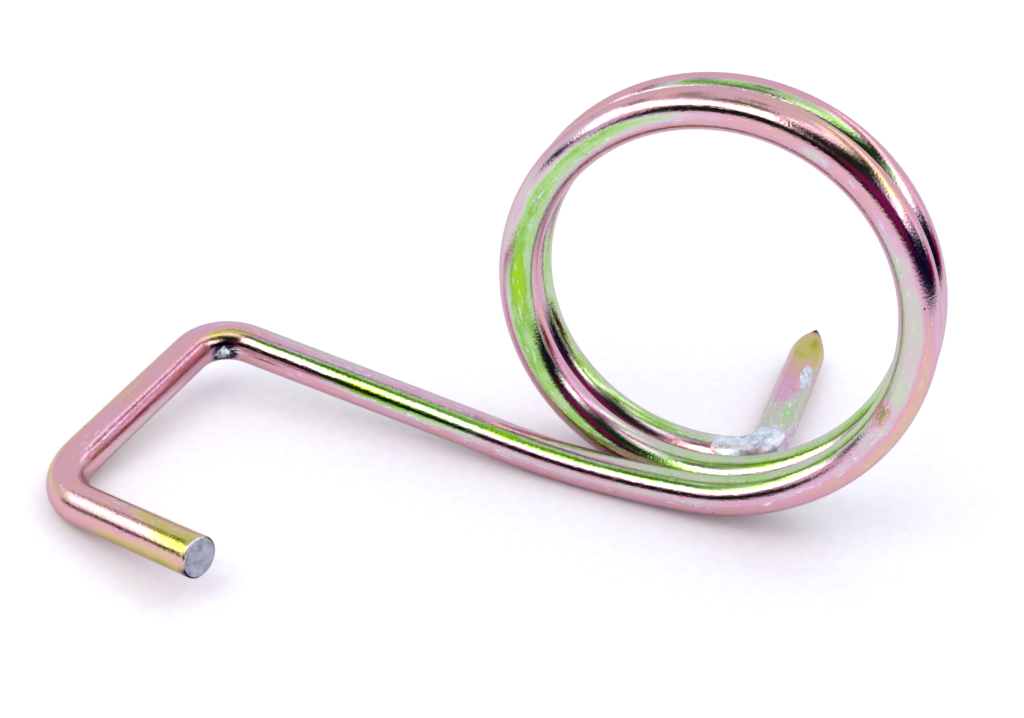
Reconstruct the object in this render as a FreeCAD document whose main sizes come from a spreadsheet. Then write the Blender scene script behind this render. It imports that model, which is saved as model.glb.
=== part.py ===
"""Wire torsion spring: one round wire with a hooked foot, a long arm, two close coil turns and a short leg.

The wire is drawn on its coil's axis (+Z) as one path of lines, arcs and a left-hand helix. Each piece of
the path starts where the last one ends, through its Placement expression, and one circle is swept along
the lot.
The finished wire is then turned so that it stands on its three feet: hook, coil and leg.
"""
import FreeCAD, Part
import math
import os

from FreeCAD import Placement, Rotation, Vector

doc = FreeCAD.newDocument("WireTorsionSpring")

# ---------------------------------------------------------------- sizes, mm and degrees
sizes = doc.addObject("Spreadsheet::Sheet", "Sizes")
SIZES = [
    ("wire_dia", 4.0, "wire diameter"),
    ("coil_dia", 39.6, "coil mean diameter, wire centre to wire centre"),
    ("coil_gap", 0.16, "clearance between the coil's turns, which nearly touch"),
    ("coil_turns", 2.014, "turns from the arm's lead-in to the leg's bend"),
    ("lead_bend", 86.3, "bend radius where the arm eases into the coil"),
    ("lead_turn", 13.2, "angle turned by that easy bend"),
    ("arm_len", 28.1, "straight length of the arm"),
    ("elbow_bend", 5.0, "bend radius of the elbow at the arm's end"),
    ("elbow_turn", 80.8, "angle turned at the elbow"),
    ("elbow_roll", -104.0, "roll of the elbow's plane about the arm"),
    ("foot_len", 17.6, "straight length between elbow and hook bend"),
    ("hook_bend", 6.2, "bend radius of the hook"),
    ("hook_turn", 82.1, "angle turned at the hook"),
    ("hook_roll", 19.8, "roll of the hook's plane about the foot"),
    ("hook_len", 15.0, "straight length of the hook, to its sheared end"),
    ("burr", 0.2, "broken edge of the hook's sheared end"),
    ("leg_bend", 3.8, "bend radius where the coil turns into the leg"),
    ("leg_len", 23.8, "straight length of the leg, along the coil's axis"),
    ("nip_left", 52.0, "slope of the pinched tip's longer flank"),
    ("nip_right", 55.0, "slope of the pinched tip's shorter flank"),
    ("nip_under", 24.0, "slope of the tip's underside"),
    ("nip_spin", 17.0, "turn of the pinched tip about the leg"),
]
for row, (alias, value, note) in enumerate(SIZES, start=1):
    sizes.set(f"A{row}", alias)
    sizes.set(f"B{row}", str(value))
    sizes.set(f"C{row}", note)
    sizes.setAlias(f"B{row}", alias)
DERIVED = [
    ("coil_pitch", "=wire_dia + coil_gap", "advance per turn"),
    ("coil_rise", "=atan(coil_pitch / (pi * coil_dia)) / 1deg", "helix angle of the coil"),
]
for row, (alias, formula, note) in enumerate(DERIVED, start=len(SIZES) + 1):
    sizes.set(f"A{row}", alias)
    sizes.set(f"B{row}", formula)
    sizes.set(f"C{row}", note)
    sizes.setAlias(f"B{row}", alias)
doc.recompute()


# ---------------------------------------------------------------- helpers for the wire's path
# A frame's +Z points along the wire and its +X towards the centre of the next bend.
def turned(axis, angle):
    """Text of a rotation about one axis, for an expression."""
    axes = {"X": "1; 0; 0", "Y": "0; 1; 0", "Z": "0; 0; 1"}
    return f"rotation(vector({axes[axis]}); {angle})"


def frame(spot, *turns):
    """Text of a placement: a position and rotations, for an expression."""
    rotation = " * ".join(turned(axis, angle) for axis, angle in turns) or turned("Z", 0)
    return f"placement(vector({spot}); {rotation})"


def straight(name, label, start, length):
    """Line of the wire's path; returns it and the text of the frame at its far end."""
    line = doc.addObject("Part::Line", name)
    line.Label = label
    line.X2 = 0
    line.Y2 = 0
    line.setExpression("Z2", f"Sizes.{length}")
    line.setExpression("Placement", start)
    return line, f"{name}.Placement * " + frame(f"0; 0; Sizes.{length}")


def bend(name, label, start, radius, angle):
    """Arc of the wire's path; returns it and the text of the frame at its far end."""
    arc = doc.addObject("Part::Circle", name)
    arc.Label = label
    arc.Angle1 = 0
    arc.setExpression("Radius", f"Sizes.{radius}")
    arc.setExpression("Angle2", angle)
    arc.setExpression("Placement", f"{start} * " + frame(f"Sizes.{radius}; 0; 0", ("X", -90), ("Z", 180)))
    end = frame("0; 0; 0", ("Z", angle)) + " * " + frame(f"Sizes.{radius}; 0; 0", ("Z", 180), ("X", 90))
    return arc, f"{name}.Placement * {end}"


# ---------------------------------------------------------------- path: coil
coil = doc.addObject("Part::Helix", "CoilPath")
coil.Label = "coil path"
coil.LocalCoord = "Left-handed"
coil.Style = "New style"
coil.setExpression("Radius", "Sizes.coil_dia / 2")
coil.setExpression("Pitch", "Sizes.coil_pitch")
coil.setExpression("Height", "Sizes.coil_pitch * Sizes.coil_turns")

# ---------------------------------------------------------------- path: arm and hook, from the coil's start
start_of_arm = frame("Sizes.coil_dia / 2; 0; 0", ("X", "90 - Sizes.coil_rise"), ("Y", 180))
lead, tip = bend("LeadPath", "lead-in path", start_of_arm, "lead_bend", "Sizes.lead_turn")
arm, tip = straight("ArmPath", "arm path", tip, "arm_len")
elbow, tip = bend("ElbowPath", "elbow path", f"{tip} * " + frame("0; 0; 0", ("Z", "Sizes.elbow_roll")),
                  "elbow_bend", "Sizes.elbow_turn")
foot, tip = straight("FootPath", "foot path", tip, "foot_len")
hook, tip = bend("HookBendPath", "hook bend path", f"{tip} * " + frame("0; 0; 0", ("Z", "Sizes.hook_roll")),
                 "hook_bend", "Sizes.hook_turn")
hook_end, end_of_hook = straight("HookPath", "hook path", tip, "hook_len")

# ---------------------------------------------------------------- path: leg, from the coil's end
start_of_leg = (frame("0; 0; Sizes.coil_pitch * Sizes.coil_turns", ("Z", "-360 * Sizes.coil_turns"))
                + " * " + frame("Sizes.coil_dia / 2; 0; 0", ("X", "90 - Sizes.coil_rise"), ("Z", 90)))
knee, tip = bend("KneePath", "leg bend path", start_of_leg, "leg_bend", "90 - Sizes.coil_rise")
leg, end_of_leg = straight("LegPath", "leg path", tip, "leg_len")

path = doc.addObject("Part::Compound", "WirePath")
path.Label = "wire path"
path.Links = [hook_end, hook, foot, elbow, arm, lead, coil, knee, leg]

# ---------------------------------------------------------------- wire
section = doc.addObject("Part::Circle", "WireSection")
section.Label = "wire section"
section.setExpression("Radius", "Sizes.wire_dia / 2")
section.setExpression("Placement", end_of_hook)

wire = doc.addObject("Part::Sweep", "Wire")
wire.Label = "bent wire"
wire.Sections = [section]
wire.Spine = (path, [])
wire.Solid = True
wire.Frenet = True

# ---------------------------------------------------------------- leg's tip: pinched off by cutters
# Both flanks meet in a ridge that starts at the leg's upper side and falls back towards its underside.
ridge = (f"{end_of_leg} * " + frame("0; 0; 0", ("Z", "Sizes.nip_spin"))
         + " * " + frame("0; Sizes.wire_dia / 2; 0", ("X", "Sizes.nip_under")))


def flank(name, label, slope):
    """Block whose lower face is one flank of the pinched tip."""
    block = doc.addObject("Part::Box", name)
    block.Label = label
    for side in ("Length", "Width", "Height"):
        block.setExpression(side, "4 * Sizes.wire_dia")
    corner = "-2 * Sizes.wire_dia; -2.5 * Sizes.wire_dia; 0"
    block.setExpression("Placement", f"{ridge} * " + frame("0; 0; 0", ("Y", slope)) + " * " + frame(corner))
    return block


left_flank = flank("LeftFlank", "left flank cutter", "Sizes.nip_left")
right_flank = flank("RightFlank", "right flank cutter", "-Sizes.nip_right")
flanks = doc.addObject("Part::MultiFuse", "Flanks")
flanks.Label = "pinch cutters"
flanks.Shapes = [left_flank, right_flank]
pinched = doc.addObject("Part::Cut", "PinchedWire")
pinched.Label = "wire with pinched tip"
pinched.Base = wire
pinched.Tool = flanks
doc.recompute()

# ---------------------------------------------------------------- hook's sheared end: edge just broken
hook_face = hook_end.Shape.Vertexes[-1].Point
rim = [number for number, edge in enumerate(pinched.Shape.Edges, start=1)
       if edge.CenterOfMass.distanceToPoint(hook_face) < 0.1 * section.Radius.Value]
spring = doc.addObject("Part::Fillet", "SpringWire")
spring.Label = "spring_wire"
spring.Base = pinched
burr = float(sizes.get("burr"))
spring.Edges = [(number, burr, burr) for number in rim]
doc.recompute()


# ---------------------------------------------------------------- rest: it stands on hook, coil and leg
def wire_points(pieces, skip_end=0.0):
    """Points and directions along pieces of the path, less a length at the last one's end."""
    found = []
    for piece in pieces:
        edge = piece.Shape.Edges[0]
        first, last = edge.ParameterRange
        if skip_end and piece is pieces[-1]:
            last -= (last - first) * skip_end / edge.Length
        for step in range(401):
            at = first + (last - first) * step / 400
            found.append((edge.valueAt(at), edge.tangentAt(at)))
    return found


def foot_point(points, down, corners=()):
    """Point of the wire's skin, or of some corners, that lies furthest along a direction."""
    radius = section.Radius.Value
    found = list(corners)
    for point, along in points:
        out = down - along * down.dot(along)
        found.append(point + out * (radius / max(out.Length, 1e-9)))
    return max(found, key=down.dot)


# The pinch cuts the wire's skin away near the leg's end, so there its own edges are what can touch the ground.
wire_dia = float(sizes.get("wire_dia"))
under, steep = (math.radians(float(sizes.get(alias))) for alias in ("nip_under", "nip_right"))
pinch_reach = wire_dia * (math.tan(under) + math.tan(steep) / 2)
leg_tip = leg.Shape.Vertexes[-1].Point
tip_edges = [point for edge in spring.Shape.Edges for point in edge.discretize(60)
             if point.distanceToPoint(leg_tip) < pinch_reach]
feet = [(wire_points([foot, hook, hook_end]), ()),
        (wire_points([lead, coil]), ()),
        (wire_points([knee, leg], pinch_reach), tip_edges)]
start_dir = coil.Shape.Edges[0].valueAt(coil.Shape.Edges[0].FirstParameter)
down = Vector(start_dir.x, start_dir.y, 0).normalize()
for _ in range(40):
    a, b, c = (foot_point(points, down, corners) for points, corners in feet)
    plane = (b - a).cross(c - a).normalize()
    down = plane if plane.dot(down) > 0 else plane * -1
up = down * -1
axis = Vector(0, 0, 1)
away = (axis - up * axis.dot(up)).normalize()
side = away.cross(up)
turn = Rotation(side, away, up, "ZYX").inverted()
stood = spring.Shape.copy()
stood.Placement = Placement(Vector(0, 0, 0), turn)
box = stood.optimalBoundingBox(True, False)
rest = {"rest_x": -box.Center.x, "rest_y": -box.Center.y, "rest_z": -box.ZMin,
        "rest_ax": turn.Axis.x, "rest_ay": turn.Axis.y, "rest_az": turn.Axis.z,
        "rest_turn": math.degrees(turn.Angle)}
for row, (alias, value) in enumerate(rest.items(), start=len(SIZES) + len(DERIVED) + 1):
    sizes.set(f"A{row}", alias)
    sizes.set(f"B{row}", f"{value:.9f}")
    sizes.set(f"C{row}", "rest pose, found above")
    sizes.setAlias(f"B{row}", alias)
spring.setExpression("Placement", "placement(vector(Sizes.rest_x; Sizes.rest_y; Sizes.rest_z); "
                     "rotation(vector(Sizes.rest_ax; Sizes.rest_ay; Sizes.rest_az); Sizes.rest_turn))")
doc.recompute()

# ---------------------------------------------------------------- checks and export
for item in doc.Objects:
    if "Invalid" in item.State or not item.isValid():
        raise RuntimeError(f"{item.Label} did not compute: {item.State}")
    if hasattr(item, "Shape") and not item.Shape.isValid():
        raise RuntimeError(f"{item.Label} has an invalid shape")
if len(spring.Shape.Solids) != 1:
    raise RuntimeError("the wire is not one solid")
path_length = sum(edge.Length for edge in path.Shape.Edges)
drawn = path_length * math.pi * section.Radius.Value ** 2
if abs(wire.Shape.Volume / drawn - 1) > 0.001:
    raise RuntimeError("the swept wire's volume does not match its length times its section")

os.makedirs("parts", exist_ok=True)
spring.Shape.exportStep("parts/spring_wire.step")
print(f"wire {path_length:.1f} mm, {spring.Shape.Volume:.1f} mm3, box {spring.Shape.optimalBoundingBox()}")
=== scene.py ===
# %% [markdown]
# # A plated wire torsion spring
# The object is one length of round spring steel wire, 4 mm thick. It has a short hook, a foot, a long arm,
# two close coil turns, and a leg whose tip was nipped off with cutters. It is zinc plated and then dipped in
# a yellow passivate, whose thin film splits light into rose, green and gold.
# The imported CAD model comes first, because it fixes the size and the place of everything.

# %% Load the frame
import math

import bpy
from mathutils import Matrix, Vector
from mathutils.kdtree import KDTree


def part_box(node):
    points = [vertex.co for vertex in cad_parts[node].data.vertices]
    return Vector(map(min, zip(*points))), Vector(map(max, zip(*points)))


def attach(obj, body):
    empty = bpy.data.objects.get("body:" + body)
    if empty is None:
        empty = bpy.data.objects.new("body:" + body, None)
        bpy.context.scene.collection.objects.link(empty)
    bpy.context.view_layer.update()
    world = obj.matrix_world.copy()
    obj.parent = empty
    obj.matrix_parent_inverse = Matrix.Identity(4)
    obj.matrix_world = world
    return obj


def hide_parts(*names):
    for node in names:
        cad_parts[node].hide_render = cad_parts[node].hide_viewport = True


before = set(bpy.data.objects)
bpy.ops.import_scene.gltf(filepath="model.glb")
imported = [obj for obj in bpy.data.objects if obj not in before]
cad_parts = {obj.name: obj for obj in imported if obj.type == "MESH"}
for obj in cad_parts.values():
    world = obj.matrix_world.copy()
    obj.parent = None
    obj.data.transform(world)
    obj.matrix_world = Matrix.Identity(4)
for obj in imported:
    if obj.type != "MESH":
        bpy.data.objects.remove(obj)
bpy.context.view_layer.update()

MM = 0.001
wire_low, wire_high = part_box("spring_wire")
print("CAD wire box, mm:", [round(side / MM, 1) for side in wire_high - wire_low])

# %% [markdown]
# ## Bending the wire
# A spring like this is made on a bench: the wire is fed straight, then turned round a former for each bend.
# Blender's edit mode can do the same. One ring of points is the wire's section. Extrude feeds it straight,
# and Spin turns it round a former's centre. A curve with a bevel would be quicker, but a ring that is bent
# step by step tells where each point was while the wire was straight, and the finish needs that later.
# The coil's axis is +Z while the wire is bent. The finished spring is then stood on its three feet.

# %% Sizes of the wire, mm and degrees
WIRE_RADIUS = 2.0
COIL_RADIUS, COIL_PITCH, COIL_TURNS = 19.8, 4.16, 2.014
COIL_RISE = math.degrees(math.atan(COIL_PITCH / (2 * math.pi * COIL_RADIUS)))
LEAD_BEND, LEAD_TURN = 86.3, 13.2
ARM_LENGTH = 28.1
ELBOW_BEND, ELBOW_TURN, ELBOW_ROLL = 5.0, 80.8, -104.0
FOOT_LENGTH = 17.6
HOOK_BEND, HOOK_TURN, HOOK_ROLL = 6.2, 82.1, 19.8
HOOK_LENGTH = 15.0
LEG_BEND, LEG_LENGTH = 3.8, 23.8
BURR = 0.2
NIP_LEFT, NIP_RIGHT, NIP_UNDER, NIP_SPIN = 52.0, 55.0, 24.0, 17.0

RING_POINTS = 48
RING_STEP = 1.0
BEND_STEP = 0.5


# %% A bench that feeds and turns the ring
def turn_about(axis, degrees):
    """Rotation about an axis through the origin."""
    return Matrix.Rotation(math.radians(degrees), 4, axis)


def shift(x, y, z):
    """Move, in mm."""
    return Matrix.Translation(Vector((x, y, z)) * MM)


class Bench:
    """Keeps the wire's working end: at is a frame whose +Z is the feed and whose +X points to the former.

    ring is the section's own frame, which travels with the wire; every place it has stood is kept in rod.
    """

    def __init__(self, at, ring, sense, rod):
        self.at, self.ring, self.sense, self.rod = at, ring, sense, rod
        self.along = 0.0

    def step(self, move, length):
        self.ring = move @ self.ring
        self.along += self.sense * length
        self.rod.append((self.along, self.ring.copy()))

    def feed(self, length):
        steps = round(length / RING_STEP)
        way = self.at.to_3x3().col[2] * (length / steps * MM)
        for _ in range(steps):
            bpy.ops.mesh.extrude_region_move(TRANSFORM_OT_translate={"value": way})
            self.step(Matrix.Translation(way), length / steps)
        self.at = self.at @ shift(0, 0, length)

    def roll(self, degrees):
        """Turns the former's place about the wire; the wire itself stays."""
        self.at = self.at @ turn_about("Z", degrees)

    def bend(self, radius, degrees, climb=0.0, step=RING_STEP):
        """Turns the ring round a former; climb is how far it moves along a coil's axis in all."""
        length = math.hypot(math.radians(degrees) * radius, climb)
        steps = round(length / step)
        centre = self.at @ (Vector((radius, 0, 0)) * MM)
        former = self.at.to_3x3().col[1]
        if climb:
            former = Vector((0, 0, math.copysign(1, former.z)))
        swing = (shift(0, 0, climb / steps) @ Matrix.Translation(centre)
                 @ Matrix.Rotation(math.radians(degrees / steps), 4, former) @ Matrix.Translation(-centre))
        for _ in range(steps):
            bpy.ops.mesh.spin(steps=1, angle=-math.radians(degrees / steps), center=centre, axis=former)
            if climb:
                bpy.ops.transform.translate(value=(0, 0, climb / steps * MM))
            self.step(swing, length / steps)
            self.at = swing @ self.at


def select_points(piece, wanted):
    """Selects the points of a piece for which wanted(point) is true, and leaves edit mode on."""
    bpy.ops.object.mode_set(mode="OBJECT")
    for item in (*piece.data.polygons, *piece.data.edges):
        item.select = False
    for point in piece.data.vertices:
        point.select = wanted(point)
    bpy.ops.object.mode_set(mode="EDIT")
    bpy.ops.mesh.select_mode(type="VERT")


# %% The start ring, where the arm runs into the coil
bpy.ops.object.select_all(action="DESELECT")
arm_start = shift(COIL_RADIUS, 0, 0) @ turn_about("X", 90 - COIL_RISE) @ turn_about("Y", 180)
coil_start = shift(COIL_RADIUS, 0, 0) @ turn_about("X", 90 - COIL_RISE) @ turn_about("Z", 180)
bpy.ops.mesh.primitive_circle_add(vertices=RING_POINTS, radius=WIRE_RADIUS * MM, fill_type="NOTHING",
                                  location=arm_start.to_translation(), rotation=arm_start.to_euler())
wire = bpy.context.object
wire.name = wire.data.name = "bent_wire"
bpy.ops.object.transform_apply(location=True, rotation=True, scale=True)
rod = [(0.0, arm_start.copy())]

# %% Bend the arm's side, out to the hook's end
select_points(wire, lambda point: True)
arm_side = Bench(arm_start, arm_start, -1, rod)
arm_side.bend(LEAD_BEND, LEAD_TURN)
arm_side.feed(ARM_LENGTH)
arm_side.roll(ELBOW_ROLL)
arm_side.bend(ELBOW_BEND, ELBOW_TURN, step=BEND_STEP)
arm_side.feed(FOOT_LENGTH)
arm_side.roll(HOOK_ROLL)
arm_side.bend(HOOK_BEND, HOOK_TURN, step=BEND_STEP)
arm_side.feed(HOOK_LENGTH)
print("hook end, mm:", [round(side / MM, 2) for side in arm_side.at.to_translation()])

# %% Wind the coil's side, out to the leg's end
select_points(wire, lambda point: point.index < RING_POINTS)
coil_side = Bench(coil_start, arm_start, 1, rod)
coil_side.bend(COIL_RADIUS, 360 * COIL_TURNS, climb=COIL_PITCH * COIL_TURNS)
coil_side.roll(-90)
coil_side.bend(LEG_BEND, 90 - COIL_RISE, step=BEND_STEP)
coil_side.feed(LEG_LENGTH)
print("leg end, mm:", [round(side / MM, 2) for side in coil_side.at.to_translation()])

# %% [markdown]
# ## The two ends
# The hook's end was sheared square, so it is a flat face with a just-broken edge: a face and a small bevel.
# The leg's tip was pinched off by side cutters. Their two jaws leave two slopes that meet in a ridge, and
# the ridge falls away towards the underside. Bisect cuts each slope and fills it, on the leg's points only,
# because its plane has no end and would cut the coil as well.

# %% Shear the hook's end
def near_end(bench, reach):
    """A test for points that lie within reach mm of a bench's end."""
    to_end = bench.at.inverted()

    def test(point):
        spot = to_end @ point.co / MM
        return -reach <= spot.z <= 0.01 and math.hypot(spot.x, spot.y) < 1.2 * WIRE_RADIUS
    return test


select_points(wire, near_end(arm_side, 0.01))
bpy.ops.mesh.edge_face_add()
bpy.ops.mesh.bevel(offset=BURR * MM, segments=3, affect="EDGES")
select_points(wire, near_end(arm_side, 0.01))
for depth in (0.0, 0.02, 0.03):
    bpy.ops.mesh.inset(thickness=0.35 * MM, depth=-depth * MM)

# %% Pinch the leg's tip
LEG_REACH = 6.0
ridge = coil_side.at @ turn_about("Z", NIP_SPIN) @ shift(0, WIRE_RADIUS, 0) @ turn_about("X", NIP_UNDER)
select_points(wire, near_end(coil_side, 0.01))
bpy.ops.mesh.edge_face_add()
for slope in (NIP_LEFT, -NIP_RIGHT):
    jaw = (ridge @ turn_about("Y", slope)).to_3x3().col[2]
    select_points(wire, near_end(coil_side, LEG_REACH))
    bpy.ops.mesh.bisect(plane_co=ridge.to_translation(), plane_no=jaw, use_fill=True, clear_outer=True)
bpy.ops.mesh.select_all(action="SELECT")
bpy.ops.mesh.remove_doubles(threshold=0.01 * MM)
bpy.ops.mesh.normals_make_consistent(inside=False)
bpy.ops.object.mode_set(mode="OBJECT")

# %% [markdown]
# ## A map of the straight wire
# Plating, scratches and the passivate's colours all follow the wire round its bends. Each point therefore
# keeps where it was on the straight wire, in mm: x and y across the section and z along it. A texture that
# reads this attribute bends with the wire. Angles round the wire are 0 on top (or inside the coil) and grow
# towards the front.

# %% Write the straight-wire map
places = KDTree(len(rod))
for number, (_, ring) in enumerate(rod):
    places.insert(ring.to_translation(), number)
places.balance()
straight = []
for point in wire.data.vertices:
    along, ring = rod[places.find(point.co)[1]]
    spot = ring.inverted() @ point.co / MM
    straight.append(Vector((spot.x, -spot.y, along - spot.z)))
rod_map = wire.data.attributes.new("rod", "FLOAT_VECTOR", "POINT")
rod_map.data.foreach_set("vector", [side for spot in straight for side in spot])
print("wire is", round(max(s.z for s in straight) - min(s.z for s in straight), 1), "mm long,",
      len(wire.data.vertices), "points")

# %% [markdown]
# ## Standing it up
# The spring rests on three feet: the hook's bend, the coil's bottom and the leg's tip. One turn and one move
# take it from the bench to that pose, which is the CAD model's own. Applying the transform leaves the object
# unturned at the origin, with its place in its mesh.

# %% Stand the spring on its feet
REST_PLACE = Vector((16.587567, 1.133808, 22.254009)) * MM
REST_AXIS, REST_TURN = Vector((-0.633544232, 0.560443117, 0.533409055)), 117.821391
wire.matrix_world = Matrix.Translation(REST_PLACE) @ Matrix.Rotation(math.radians(REST_TURN), 4, REST_AXIS)
bpy.ops.object.select_all(action="DESELECT")
wire.select_set(True)
bpy.context.view_layer.objects.active = wire
bpy.ops.object.transform_apply(location=True, rotation=True, scale=True)
bpy.ops.object.shade_smooth_by_angle(angle=math.radians(35))
corners = [Vector(corner) for corner in wire.bound_box]
print("visible wire, mm:", [round((max(c[i] for c in corners) - min(c[i] for c in corners)) / MM, 1)
                            for i in range(3)])

# %% [markdown]
# ## Where the film is thick
# The passivate is a film a few hundred nanometres thick. Its colour depends on its thickness: straw, peach,
# rose, magenta, violet, green and lime follow each other, as on a soap bubble. It drains and pools while it
# dries, so each zone has its own colour, and where tools gripped the wire the zinc shows bare.
# These zones are dabs of a soft brush on the straight-wire map: place along the wire, angle round it, and
# half the size each way. Three thin pale film dabs are painted highlight, and the stain dab round the elbow's
# bare patch is a painted dark reflection.

# %% Dabs of film, bare zinc, wear and stains, with some painted highlight and painted reflection
ROSE = 0.45
STRAW, PEACH, MAUVE, ASH, PALE, GREEN, LIME = 0.08, 0.26, 0.56, 0.66, 0.77, 0.87, 0.95
FILM_AND_HIGHLIGHT_DABS = [  # along mm, angle deg, half length mm, half width deg, film
    (-95.8, -12, 4.2, 54, 0.05), (-92, 12, 4, 26, 0.16), (-91, -108, 7, 34, 0.13), (-88, 32, 7, 12, PEACH),
    (-66, -44, 12, 17, 0.14), (-66, 100, 9, 12, 0.68), (-61, -14, 6, 14, 0.34), (-66, 50, 10, 12, 0.53),
    (-50.5, 40, 3.2, 20, 0.03), (-46.5, 48, 2, 9, 0.9),
    (-34, -8, 20, 18, ASH), (-37, 14, 10, 9, MAUVE), (-12, 88, 26, 9, ASH), (-24, 112, 16, 12, 0.5),
    (-26, 40, 21, 15, 0.96), (-31, 64, 9, 24, LIME), (-22, 18, 10, 9, 0.6), (-4, 40, 18, 11, LIME),
    # These three thin pale dabs are painted highlight: paler film laid along the lines where the white highlight
    # falls, so that it reads white.
    (-34, 52, 16, 4, 0.74), (-8, 52, 18, 4, 0.74), (124, 49, 14, 4, 0.74),
    (9, 2, 22, 40, PALE), (12, 30, 18, 11, 0.9), (12, 80, 9, 12, MAUVE), (31, 68, 13, 40, 0.7),
    (40, 140, 12, 26, 0.6), (84, 132, 14, 22, 0.64),
    (27, 46, 7, 9, 0.76), (23.5, 58, 1.4, 20, 0.12), (25, 128, 9, 20, 0.33), (53, 76, 1.4, 18, 0.7),
    (60, 0, 26, 26, ASH), (54, 186, 7, 14, 0.22), (48, 150, 5, 14, PEACH),
    (78, 86, 13, 20, 0.86), (97, 72, 18, 40, 0.9), (94, 76, 3.8, 15, 1.06), (100, 118, 7, 10, MAUVE),
    (111, 92, 5, 26, GREEN), (118, 60, 10, 20, GREEN),
    (133, 4, 22, 42, 0.79), (136, 32, 16, 11, 0.94), (104, -16, 14, 16, MAUVE), (181, 140, 14, 12, 0.9), (160, 150, 8, 16, MAUVE),
    (232, 4, 20, 44, 0.8), (224, 24, 10, 16, 0.88), (241, 22, 8, 14, 0.9),
    (266, 10, 14, 100, 0.74), (278, 0, 4, 250, 0.2), (260, 40, 3.4, 28, 0.8), (265.5, -6, 3.4, 38, 0.5),
    (264, 18, 1.6, 14, MAUVE), (270.5, 4, 2.6, 44, 0.33), (275, 8, 2.8, 50, 0.12), (274, 62, 4, 22, 0.18),
    (276, -62, 4, 20, 0.74), (277.2, 28, 1.4, 12, 0.0),
    (-70, 205, 13, 50, 0.2), (-30, -118, 22, 45, GREEN), (18, -95, 26, 40, PALE), (60, -75, 24, 40, PEACH),
    (150, 210, 26, 42, GREEN), (190, 55, 22, 46, LIME), (210, -130, 20, 50, 0.16), (268, 190, 8, 60, 0.3),
]
BARE_DABS = [(-51.4, 100, 1.4, 26, 0.62), (252.8, 10, 3.6, 110, 1.0), (257, -60, 4, 36, 0.55), (258, 92, 6, 22, 0.6),
             (269.3, 46, 2.6, 24, 1.0), (-81, -25, 2.5, 12, 0.4), (-96.6, -20, 0.3, 60, 0.6)]
WEAR_DABS = [(-30, 92, 30, 14, 1.0), (0, 92, 20, 12, 1.0), (21, 88, 8, 12, 1.0), (-71.5, 40, 3, 30, 1.0),
             (60, 60, 30, 30, 0.7), (95, 90, 22, 30, 0.6), (235, 15, 22, 24, 0.9), (-90, 10, 8, 30, 0.6),
             (259, 30, 6, 80, 1.0), (-30, 10, 25, 20, 0.6), (8, 60, 30, 16, 0.6), (30, 135, 40, 20, 0.5)]
# The first stain dab, the navy ring round the elbow's bare patch, is a painted dark reflection of the shade below
# the wire; the others are small stains and specks.
STAIN_AND_REFLECTION_DABS = [(-51.3, 98, 2.1, 37, 1.15), (280.4, 0, 0.9, 200, 1.0), (-96.5, 75, 0.5, 34, 0.7),
              (-96.5, -130, 0.5, 40, 0.8), (23.6, 60, 1.0, 18, 0.35), (-45.5, 90, 1.6, 5, 0.55),
              (270, 36, 1.0, 10, 0.5)]


def dab_weight(spot, along, angle, half_length, half_width):
    """1 inside a dab, 0 well outside it, with a soft edge."""
    turn = (math.degrees(math.atan2(spot.y, spot.x)) - angle + 180) % 360 - 180
    away = math.hypot((spot.z - along) / half_length, turn / half_width)
    edge = min(1.0, max(0.0, (1.45 - away) / 0.9))
    return edge * edge * (3 - 2 * edge)


def painted(name, ground, dabs):
    """Adds an attribute painted with dabs, each over the ones before it."""
    values = []
    for spot in straight:
        value = ground
        for *place, paint in dabs:
            value += (paint - value) * dab_weight(spot, *place)
        values.append(value)
    wire.data.attributes.new(name, "FLOAT", "POINT").data.foreach_set("value", values)
    print(name, "from", round(min(values), 2), "to", round(max(values), 2))


painted("film_and_highlight", ROSE, FILM_AND_HIGHLIGHT_DABS)
painted("bare", 0.0, BARE_DABS)
painted("wear", 0.0, WEAR_DABS)
painted("stain_and_reflection", 0.0, STAIN_AND_REFLECTION_DABS)

# %% [markdown]
# ## Materials
# Each material is a small graph of nodes. Colours are written as the hex values seen on a screen, so one
# function turns them to linear light. Another adds a node with its settings and its links in one line.

# %% Colour and node helpers
def linear(code, alpha=1.0):
    """Linear colour of an sRGB hex code."""
    parts = [int(code[i:i + 2], 16) / 255 for i in (1, 3, 5)]
    return (*[c / 12.92 if c <= 0.04045 else ((c + 0.055) / 1.055) ** 2.4 for c in parts], alpha)


def add(tree, kind, settings=None, **inputs):
    """Adds a node; inputs are values or sockets, with _ for a space in a socket's name."""
    node = tree.nodes.new("ShaderNode" + kind)
    for name, value in (settings or {}).items():
        setattr(node, name, value)
    for name, value in inputs.items():
        key = int(name[1:]) if name[0] == "i" and name[1:].isdigit() else name.replace("_", " ")
        if isinstance(value, bpy.types.NodeSocket):
            tree.links.new(value, node.inputs[key])
        else:
            node.inputs[key].default_value = value
    return node


def new_material(name):
    """An empty node material; returns it and its tree."""
    material = bpy.data.materials.new(name)
    material.use_nodes = True
    material.node_tree.nodes.clear()
    return material, material.node_tree


def fill_ramp(node, stops):
    """Writes (position, hex colour) stops into a colour ramp."""
    ramp = node.color_ramp
    while len(ramp.elements) > 1:
        ramp.elements.remove(ramp.elements[-1])
    ramp.elements[0].position, ramp.elements[0].color = stops[0][0], linear(stops[0][1])
    for place, code in stops[1:]:
        ramp.elements.new(place).color = linear(code)


# %% [markdown]
# ### Yellow-passivated zinc plate
# Bright zinc under a thin chromate film, on drawn wire. The zinc gives a mirror with a slightly soft edge,
# the film tints the mirror, and the die that drew the wire left fine lines along it.
# The lines are about 0.1 mm apart, drawn here at 0.25 mm so that they show. Wear is short pale dashes along
# the wire, and pits are specks of 0.1 to 0.3 mm where the plating missed.

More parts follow.
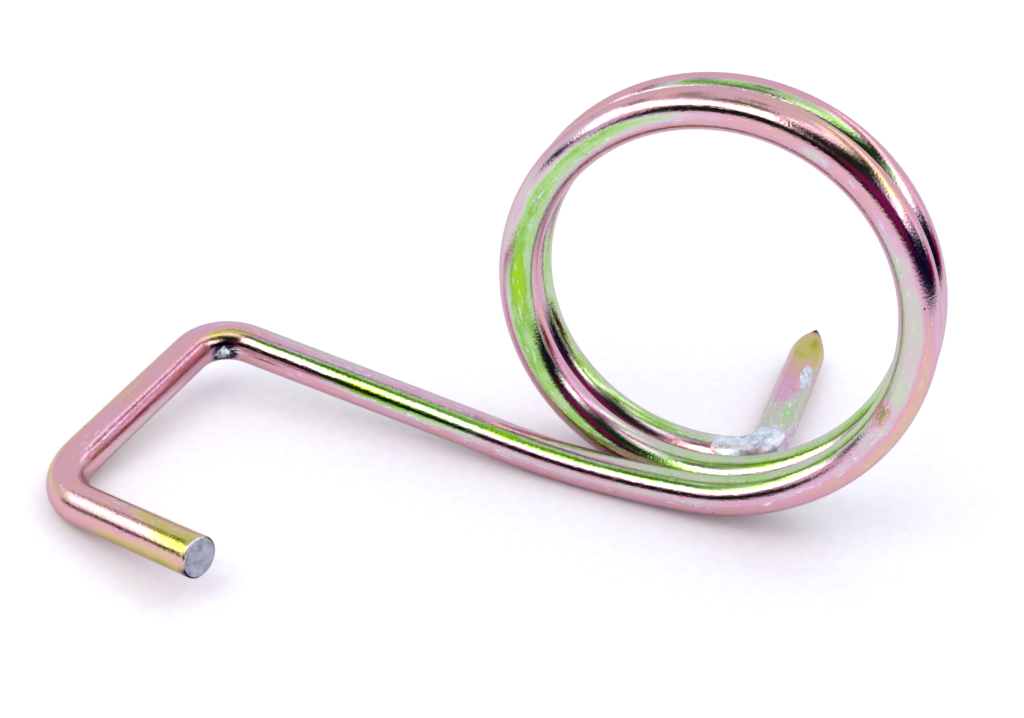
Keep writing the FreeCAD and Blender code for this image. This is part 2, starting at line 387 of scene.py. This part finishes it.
# %% Plated wire
plated, tree = new_material("yellow_passivated_zinc_plate")
rod_at = add(tree, "Attribute", {"attribute_name": "rod"}).outputs["Vector"]
film_and_highlight_at = add(tree, "Attribute", {"attribute_name": "film_and_highlight"}).outputs["Fac"]
bare_at = add(tree, "Attribute", {"attribute_name": "bare"}).outputs["Fac"]
wear_at = add(tree, "Attribute", {"attribute_name": "wear"}).outputs["Fac"]
stain_and_reflection_at = add(tree, "Attribute", {"attribute_name": "stain_and_reflection"}).outputs["Fac"]
lengthwise = add(tree, "Mapping", Vector=rod_at, Scale=(1, 1, 0.05)).outputs["Vector"]
dashwise = add(tree, "Mapping", Vector=rod_at, Scale=(1, 1, 0.17)).outputs["Vector"]

cloud = add(tree, "TexNoise", Vector=rod_at, Scale=0.35, Detail=4.0, Roughness=0.6).outputs["Fac"]
streaks = add(tree, "TexNoise", Vector=lengthwise, Scale=1.6, Detail=3.0).outputs["Fac"]
grain = add(tree, "TexNoise", Vector=rod_at, Scale=5.0, Detail=3.0).outputs["Fac"]
film_and_highlight = film_and_highlight_at
for noise, strength in ((cloud, 0.34), (streaks, 0.28), (grain, 0.15)):
    centred = add(tree, "Math", {"operation": "SUBTRACT"}, i0=noise, i1=0.5).outputs[0]
    film_and_highlight = add(tree, "Math", {"operation": "MULTIPLY_ADD"}, i0=centred, i1=strength, i2=film_and_highlight).outputs[0]
film_and_highlight_ramp = add(tree, "ValToRGB", Fac=film_and_highlight)
fill_ramp(film_and_highlight_ramp, [(0.0, "#acab3c"), (0.1, "#c4be62"), (0.22, "#d5b98c"), (0.34, "#d9b0a2"),
                      (0.45, "#d9a4ac"), (0.55, "#d9a8c2"), (0.66, "#d0bfc0"), (0.76, "#c2ceb2"),
                      (0.86, "#a9d07e"), (0.95, "#88ba4c"), (1.0, "#9acb26")])

dash_noise = add(tree, "TexNoise", Vector=dashwise, Scale=3.4, Detail=4.0, Roughness=0.65).outputs["Fac"]
dashes = add(tree, "MapRange", Value=dash_noise, i1=0.57, i2=0.64).outputs[0]
worn = add(tree, "Math", {"operation": "MULTIPLY"}, i0=dashes, i1=wear_at).outputs[0]
scuff_noise = add(tree, "TexNoise", Vector=rod_at, Scale=1.4, Detail=5.0, Roughness=0.7).outputs["Fac"]
scuff_sum = add(tree, "Math", {"operation": "MULTIPLY_ADD"}, i0=scuff_noise, i1=1.3, i2=bare_at).outputs[0]
scuffed = add(tree, "MapRange", Value=scuff_sum, i1=1.02, i2=1.3).outputs[0]
open_zinc = add(tree, "Math", {"operation": "MAXIMUM"}, i0=worn, i1=scuffed).outputs[0]
zinc_ramp = add(tree, "ValToRGB", Fac=scuff_noise)
fill_ramp(zinc_ramp, [(0.31, "#4d586c"), (0.38, "#b4bfcd"), (0.5, "#d8e0e9"), (0.62, "#f3f6f9")])
# The stain mask darkens the film towards navy; round the elbow's bare patch that navy is a painted dark reflection.
stain_and_reflection_sum = add(tree, "Math", {"operation": "MULTIPLY_ADD"}, i0=grain, i1=0.8, i2=stain_and_reflection_at).outputs[0]
stain_and_reflection_mask = add(tree, "MapRange", Value=stain_and_reflection_sum, i1=0.5, i2=1.1).outputs[0]
film_stain_and_painted_light = add(tree, "MixRGB", Fac=stain_and_reflection_mask, Color1=film_and_highlight_ramp.outputs[0], Color2=linear("#24233c")).outputs[0]
coloured = add(tree, "MixRGB", Fac=open_zinc, Color1=film_stain_and_painted_light, Color2=zinc_ramp.outputs[0]).outputs[0]
pit_cells = add(tree, "TexVoronoi", Vector=rod_at, Scale=0.55, Randomness=1.0).outputs["Distance"]
pit_patchy = add(tree, "Math", {"operation": "MULTIPLY_ADD"}, i0=cloud, i1=-0.3, i2=0.19).outputs[0]
pits = add(tree, "Math", {"operation": "LESS_THAN"}, i0=pit_cells, i1=pit_patchy).outputs[0]
surface = add(tree, "MixRGB", Fac=pits, Color1=coloured, Color2=linear("#2c2a26")).outputs[0]

gloss = add(tree, "MapRange", Value=open_zinc, i3=0.1, i4=0.32).outputs[0]
lines = add(tree, "TexNoise", Vector=lengthwise, Scale=8.0, Detail=3.0).outputs["Fac"]
lined = add(tree, "Math", {"operation": "MULTIPLY_ADD"}, i0=lines, i1=0.4, i2=grain).outputs[0]
rough_scuff = add(tree, "Math", {"operation": "MULTIPLY"}, i0=scuffed, i1=3.0).outputs[0]
relief = add(tree, "Math", {"operation": "MULTIPLY_ADD"}, i0=rough_scuff, i1=scuff_noise, i2=lined).outputs[0]
bump = add(tree, "Bump", Strength=1.0, Distance=0.018 * MM, Height=relief).outputs["Normal"]
shader = add(tree, "BsdfPrincipled", Base_Color=surface, Metallic=1.0, Roughness=gloss, Normal=bump,
             Specular_Tint=linear("#e4e0e2"))
add(tree, "OutputMaterial", Surface=shader.outputs[0])

# %% [markdown]
# ### Sheared steel
# The hook's end was cut after plating or barely plated: a dull blue-grey face, torn rather than polished,
# with a darker rim where the shear started.

# %% Sheared end
sheared, tree = new_material("sheared_steel_end")
rod_at = add(tree, "Attribute", {"attribute_name": "rod"}).outputs["Vector"]
tear = add(tree, "TexNoise", Vector=rod_at, Scale=1.3, Detail=6.0, Roughness=0.65).outputs["Fac"]
face_ramp = add(tree, "ValToRGB", Fac=tear)
fill_ramp(face_ramp, [(0.32, "#6b6d7e"), (0.45, "#a2a4b4"), (0.66, "#bcbfcb")])
bump = add(tree, "Bump", Strength=0.6, Distance=0.08 * MM, Height=tear).outputs["Normal"]
shader = add(tree, "BsdfPrincipled", Base_Color=face_ramp.outputs[0], Metallic=0.85, Roughness=0.55, Normal=bump)
add(tree, "OutputMaterial", Surface=shader.outputs[0])

wire.data.materials.clear()
wire.data.materials.append(plated)
wire.data.materials.append(sheared)
hook_end = min(spot.z for spot in straight)
for face in wire.data.polygons:
    spots = [straight[index] for index in face.vertices]
    if max(spot.z for spot in spots) < hook_end + 0.12 and max(math.hypot(s.x, s.y) for s in spots) < 1.85:
        face.material_index = 1

# %% The wire stands for the CAD's wire
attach(wire, "root")
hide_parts("spring_wire")

# %% [markdown]
# ## Studio
# Polished metal shows its surroundings, so the surroundings are most of the look. The floor is pale paper.
# A white tent lights it softly. Cards hang round the spring where only its reflections see them: bright ones
# give the white lines along the wire, and black ones give the dark lines beside them.

# %% Floor
bpy.ops.mesh.primitive_plane_add(size=4.0, location=(0, 0, 0))
floor = bpy.context.object
floor.name = "paper_floor"
paper, tree = new_material("matte_white_paper")
fibre = add(tree, "TexNoise", Vector=add(tree, "TexCoord").outputs["Object"], Scale=900.0, Detail=2.0)
paper_ramp = add(tree, "ValToRGB", Fac=fibre.outputs["Fac"])
fill_ramp(paper_ramp, [(0.3, "#f3f3f7"), (0.7, "#f8f8fb")])
shader = add(tree, "BsdfPrincipled", Base_Color=paper_ramp.outputs[0], Roughness=0.8)
shader.inputs["Specular IOR Level"].default_value = 0.2
add(tree, "OutputMaterial", Surface=shader.outputs[0])
floor.data.materials.append(paper)

# %% Cards seen only in reflections
CARD_DISTANCE = 0.8
CARDS = [  # name, places along it (azimuth with 0 the front and 90 the right, low and high edge), colour, brightness
    ("dark_card_front", [(-38, 2, 26), (-30, 2, 30), (-1, 2, 30)], "#20341f", 0.4),
    ("dark_card_hook", [(-78, -1, 10), (-50, -1, 10)], "#2a1830", 0.4),
    ("dark_card_left", [(-112, 38, 43), (-84, 36, 42)], "#5a3450", 0.6),
    ("dark_card_centre", [(-1, 1, 27), (14, 1, 30)], "#1c2030", 0.4),
    ("plum_card_right", [(14, 9, 28), (30, 9, 32), (46, 16, 32)], "#84165e", 1.1),
    ("dark_card_low", [(14, 1, 9), (30, 1, 9), (46, 1, 16)], "#1c1246", 0.4),
    ("dark_card_right", [(46, 1, 33), (60, 1, 27), (108, 1, 26)], "#1c1246", 0.5),
    ("plum_card_far_right", [(108, 0, 15), (126, 0, 14)], "#c00458", 0.6),
    ("rose_card_far_right", [(109, 17, 35), (128, 16, 34)], "#ffe6f6", 1.35),
    ("dark_arc_above_right", [(2, 32, 50), (14, 28, 56), (30, 32, 59), (46, 32, 60), (59, 35, 60), (60, 43, 60), (100, 47, 58), (112, 48, 56)],
     "#2c4632", 0.45),
    ("plum_arc_far_right", [(112, 48, 56), (120, 48, 54), (140, 53, 59)], "#9a1c66", 0.5),
    ("dark_arc_behind", [(-178, 77, 82), (-110, 78, 84), (-90, 79, 84)], "#2c2438", 0.3),
    ("grey_arc_above_left", [(-130, 52, 62), (-80, 55, 67), (-60, 58, 68)], "#b4bcb0", 1.0),
    ("grey_card_above_front", [(-60, 60, 76), (-30, 61, 77), (0, 60, 77)], "#7c8c74", 0.8),
    ("bright_card_centre", [(-20, 33, 58), (-2, 32, 57)], "#fffdf4", 4.5),
    ("bright_card_front_left", [(-56, 25, 50), (-40, 32, 50), (-20, 33, 50)], "#fffdf4", 3.4),
    ("bright_card_left", [(-98, 31, 35), (-84, 24, 35), (-80, 22, 44), (-56, 13, 48)], "#fffdf4", 3.2),
    ("bright_arc_right", [(60, 27, 32), (75, 30, 38), (95, 35, 43), (108, 38, 45)], "#fff9fb", 3.6),
    ("bright_arc_far_right", [(108, 38, 45), (115, 40, 45), (140, 36, 43), (165, 28, 34)], "#fff9fb", 2.2),
    ("bright_arc_top", [(4, 61, 71), (40, 65, 78), (110, 60, 70), (150, 56, 64)], "#ffffff", 1.7),
]


def between(value, places, column):
    """A column of a table of places, read between its rows."""
    for one, two in zip(places, places[1:]):
        if value <= two[0]:
            return one[column] + (two[column] - one[column]) * (value - one[0]) / (two[0] - one[0])
    return places[-1][column]


def hang_card(name, places, colour, brightness):
    """A curved card at a set distance that only reflections see."""
    bpy.ops.mesh.primitive_grid_add(x_subdivisions=48, y_subdivisions=8, size=2)
    card = bpy.context.object
    card.name = name
    west, east = places[0][0], places[-1][0]
    for point in card.data.vertices:
        azimuth = west + (east - west) * (point.co.x + 1) / 2
        low, high = between(azimuth, places, 1), between(azimuth, places, 2)
        across, up = math.radians(azimuth), math.radians(low + (high - low) * (point.co.y + 1) / 2)
        point.co = CARD_DISTANCE * Vector((math.sin(across) * math.cos(up), -math.cos(across) * math.cos(up),
                                           math.sin(up)))
    glow, tree = new_material(name)
    light = add(tree, "Emission", Color=linear(colour), Strength=brightness)
    add(tree, "OutputMaterial", Surface=light.outputs[0])
    card.data.materials.append(glow)
    card.visible_camera = card.visible_diffuse = card.visible_shadow = False


for card in CARDS:
    hang_card(*card)

# %% Tent and lamps
world = bpy.data.worlds.new("white_tent")
bpy.context.scene.world = world
world.use_nodes = True
world.node_tree.nodes["Background"].inputs["Color"].default_value = linear("#f3f4fd")
world.node_tree.nodes["Background"].inputs["Strength"].default_value = 1.03


def hang_lamp(name, place, size, power, colour):
    """A square soft lamp that points at the spring and lights only matte things."""
    data = bpy.data.lights.new(name, "AREA")
    data.size, data.energy, data.color = size, power, linear(colour)[:3]
    lamp = bpy.data.objects.new(name, data)
    bpy.context.scene.collection.objects.link(lamp)
    lamp.location = place
    lamp.rotation_euler = (-Vector(place)).to_track_quat("-Z", "Y").to_euler()
    lamp.visible_glossy = False


hang_lamp("key_lamp", (-0.25, -0.45, 0.75), 0.5, 1.8, "#fffaf2")
hang_lamp("top_lamp", (0.35, 0.25, 0.9), 0.6, 1.4, "#ffffff")

# %% [markdown]
# ## Camera
# The camera stands in front, a little to the left, about 32 degrees above the floor and 196 mm away, tipped
# a few degrees to one side as a hand-held one is. Its axes are written as three directions.

# %% Camera
RIGHT = Vector((0.93959, 0.31852, 0.12535))
DOWN = Vector((0.27219, -0.47323, -0.83783))
camera_data = bpy.data.cameras.new("camera")
camera_data.lens, camera_data.sensor_width = 67.26, 36.0
camera_data.clip_start, camera_data.clip_end = 0.01, 20.0
camera = bpy.data.objects.new("camera", camera_data)
bpy.context.scene.collection.objects.link(camera)
backwards = RIGHT.cross(-DOWN)
turn = Matrix((RIGHT, -DOWN, backwards)).transposed()
camera.matrix_world = Matrix.Translation(Vector((38.02, -155.97, 112.89)) * MM) @ turn.to_4x4()
bpy.context.scene.camera = camera
bpy.context.scene.view_settings.view_transform = "Standard"
